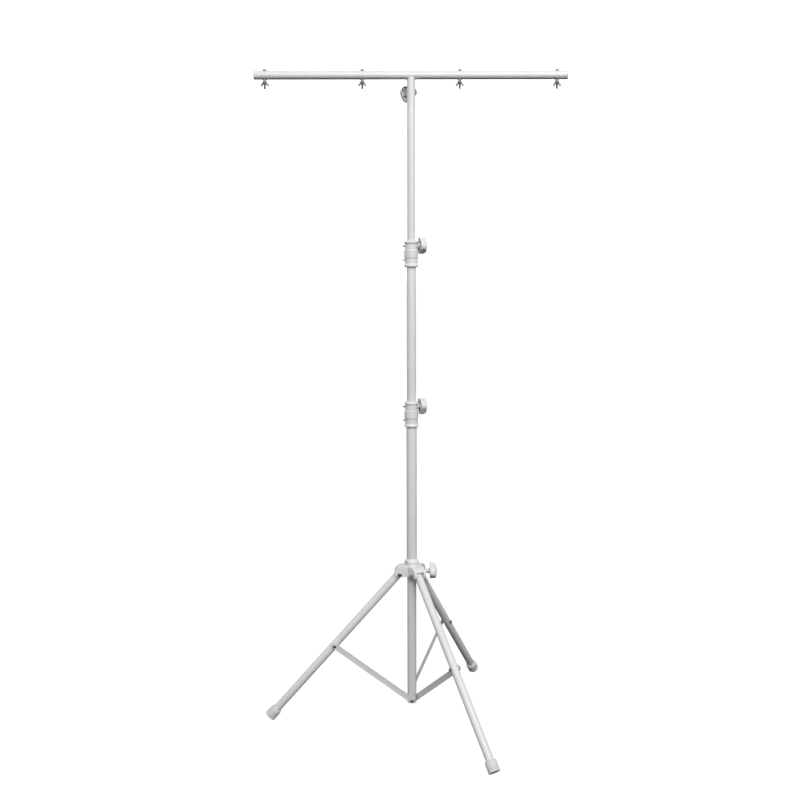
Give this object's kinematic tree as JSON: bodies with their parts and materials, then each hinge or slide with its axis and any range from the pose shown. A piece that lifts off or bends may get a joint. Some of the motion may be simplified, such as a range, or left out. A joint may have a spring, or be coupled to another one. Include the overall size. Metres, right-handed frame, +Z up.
{
  "type": "telescopic tripod lighting stand with t-bar",
  "caption": "Tripod lighting stand: telescoping mast with knobbed clamp collars, braced folding legs, and a swivelling T-bar carrying lamp bolts and wing nuts.",
  "frame": {"origin": "on the mast axis, at floor level", "axes": "+Z up the mast, X along the T-bar, leg 1 points to -X"},
  "size_m": [1.2026, 1.0516, 2.6021],
  "materials": {
    "tube_coat": "satin light grey powder coat",
    "casting_coat": "satin light grey enamel on a casting",
    "strap_coat": "satin light grey powder coat",
    "knob_plastic": "fine-grained moulded plastic",
    "nylon": "grey nylon",
    "foot_rubber": "hard grey rubber",
    "zinc_steel": "bright zinc plate",
    "black_steel": "black oxide",
    "spigot_alloy": "turned aluminium"
  },
  "bodies": {
    "base": {"main_tube": "tube_coat", "hub_casting": "casting_coat", "hub_strut_bush": "nylon", "hub_top_ring": "casting_coat", "hub_ring_screw": "black_steel", "leg_hinge_bolts": "zinc_steel", "leg_hinge_nuts": "zinc_steel", "lower_collar_body": "casting_coat", "lower_collar_bush": "nylon", "lower_collar_screws": "black_steel"},
    "hub_clamp": {"hub_knob": "knob_plastic", "hub_stud": "zinc_steel"},
    "lower_clamp": {"lower_collar_knob": "knob_plastic", "lower_collar_stud": "zinc_steel"},
    "strut": {"centre_strut": "tube_coat", "strut_end_plug": "nylon", "strut_top_guide": "nylon"},
    "mid_section": {"mid_tube": "tube_coat", "mid_guide": "nylon", "upper_collar_body": "casting_coat", "upper_collar_bush": "nylon", "upper_collar_screws": "black_steel"},
    "upper_clamp": {"upper_collar_knob": "knob_plastic", "upper_collar_stud": "zinc_steel"},
    "top_section": {"top_tube": "tube_coat", "top_guide": "nylon", "top_spigot": "spigot_alloy"},
    "t_bar": {"t_bar_tube": "tube_coat", "t_bar_end_caps": "nylon", "t_bar_stub": "tube_coat", "t_bar_boss": "tube_coat", "t_bar_bolts": "zinc_steel", "t_bar_washers": "zinc_steel", "t_bar_nuts": "zinc_steel"},
    "t_bar_clamp": {"t_bar_knob": "knob_plastic", "t_bar_stud": "zinc_steel"},
    "leg_1": {"leg_tube_1": "tube_coat", "foot_cap_1": "foot_rubber", "brace_spacer_1": "nylon", "brace_leg_bolt_1": "zinc_steel"},
    "strap_1": {"brace_strap_1": "strap_coat", "brace_strut_bolt_1": "zinc_steel"},
    "leg_2": {"leg_tube_2": "tube_coat", "foot_cap_2": "foot_rubber", "brace_spacer_2": "nylon", "brace_leg_bolt_2": "zinc_steel"},
    "strap_2": {"brace_strap_2": "strap_coat", "brace_strut_bolt_2": "zinc_steel"},
    "leg_3": {"leg_tube_3": "tube_coat", "foot_cap_3": "foot_rubber", "brace_spacer_3": "nylon", "brace_leg_bolt_3": "zinc_steel"},
    "strap_3": {"brace_strap_3": "strap_coat", "brace_strut_bolt_3": "zinc_steel"},
    "wing_nut_1": {"wing_nut_1": "zinc_steel"},
    "wing_nut_2": {"wing_nut_2": "zinc_steel"},
    "wing_nut_3": {"wing_nut_3": "zinc_steel"},
    "wing_nut_4": {"wing_nut_4": "zinc_steel"}
  },
  "joints": [
    {"name": "leg_1_fold", "type": "hinge", "parent": "base", "child": "leg_1", "pos_m": [-0.049, 0, 0.62069], "axis": [0, -1, 0], "range_deg": [0, 39.5]},
    {"name": "leg_2_fold", "type": "hinge", "parent": "base", "child": "leg_2", "pos_m": [0.0245, -0.04244, 0.62069], "axis": [0.866, 0.5, 0], "range_deg": [0, 39.5]},
    {"name": "leg_3_fold", "type": "hinge", "parent": "base", "child": "leg_3", "pos_m": [0.0245, 0.04244, 0.62069], "axis": [-0.866, 0.5, 0], "range_deg": [0, 39.5]},
    {"name": "strap_1_pivot", "type": "hinge", "parent": "leg_1", "child": "strap_1", "pos_m": [-0.31537, 0, 0.31961], "axis": [0, -1, 0], "range_deg": [-83.64, 0]},
    {"name": "strap_2_pivot", "type": "hinge", "parent": "leg_2", "child": "strap_2", "pos_m": [0.15769, -0.27312, 0.31961], "axis": [0.866, 0.5, 0], "range_deg": [-83.64, 0]},
    {"name": "strap_3_pivot", "type": "hinge", "parent": "leg_3", "child": "strap_3", "pos_m": [0.15769, 0.27312, 0.31961], "axis": [-0.866, 0.5, 0], "range_deg": [-83.64, 0]},
    {"name": "strut_slide", "type": "slide", "parent": "base", "child": "strut", "axis": [0, 0, -1], "range_m": [0, 0.25406]},
    {"name": "hub_clamp_turn", "type": "hinge", "parent": "base", "child": "hub_clamp", "pos_m": [0.04, 0, 0.62779], "axis": [1, 0, 0], "range_deg": [0, 720]},
    {"name": "lower_clamp_turn", "type": "hinge", "parent": "base", "child": "lower_clamp", "pos_m": [0.03913, 0.00832, 1.303], "axis": [0.9781, 0.2079, 0], "range_deg": [0, 720]},
    {"name": "mid_slide", "type": "slide", "parent": "base", "child": "mid_section", "axis": [0, 0, 1], "range_m": [-0.26, 0]},
    {"name": "upper_clamp_turn", "type": "hinge", "parent": "mid_section", "child": "upper_clamp", "pos_m": [0.03913, 0.00832, 1.935], "axis": [0.9781, 0.2079, 0], "range_deg": [0, 720]},
    {"name": "top_slide", "type": "slide", "parent": "mid_section", "child": "top_section", "axis": [0, 0, 1], "range_m": [-0.505, 0]},
    {"name": "t_bar_swivel", "type": "hinge", "parent": "top_section", "child": "t_bar", "pos_m": [0, 0, 2.5], "axis": [0, 0, 1], "continuous": true},
    {"name": "t_bar_clamp_turn", "type": "hinge", "parent": "t_bar", "child": "t_bar_clamp", "pos_m": [-0.00832, 0.03913, 2.515], "axis": [-0.2079, 0.9781, 0], "range_deg": [0, 720]},
    {"name": "wing_nut_1_turn", "type": "hinge", "parent": "t_bar", "child": "wing_nut_1", "pos_m": [-0.558, 0, 2.5496], "axis": [0, 0, -1], "continuous": true},
    {"name": "wing_nut_2_turn", "type": "hinge", "parent": "t_bar", "child": "wing_nut_2", "pos_m": [-0.186, 0, 2.5496], "axis": [0, 0, -1], "continuous": true},
    {"name": "wing_nut_3_turn", "type": "hinge", "parent": "t_bar", "child": "wing_nut_3", "pos_m": [0.186, 0, 2.5496], "axis": [0, 0, -1], "continuous": true},
    {"name": "wing_nut_4_turn", "type": "hinge", "parent": "t_bar", "child": "wing_nut_4", "pos_m": [0.558, 0, 2.5496], "axis": [0, 0, -1], "continuous": true}
  ],
  "couplings": [
    {"joint": "leg_2_fold", "follows": "leg_1_fold", "ratio": 1},
    {"joint": "leg_3_fold", "follows": "leg_1_fold", "ratio": 1},
    {"joint": "strap_1_pivot", "follows": "leg_1_fold", "ratio": -2.1171},
    {"joint": "strap_2_pivot", "follows": "leg_1_fold", "ratio": -2.1171},
    {"joint": "strap_3_pivot", "follows": "leg_1_fold", "ratio": -2.1171},
    {"joint": "strut_slide", "follows": "leg_1_fold", "m_per_rad": 0.3685}
  ]
}
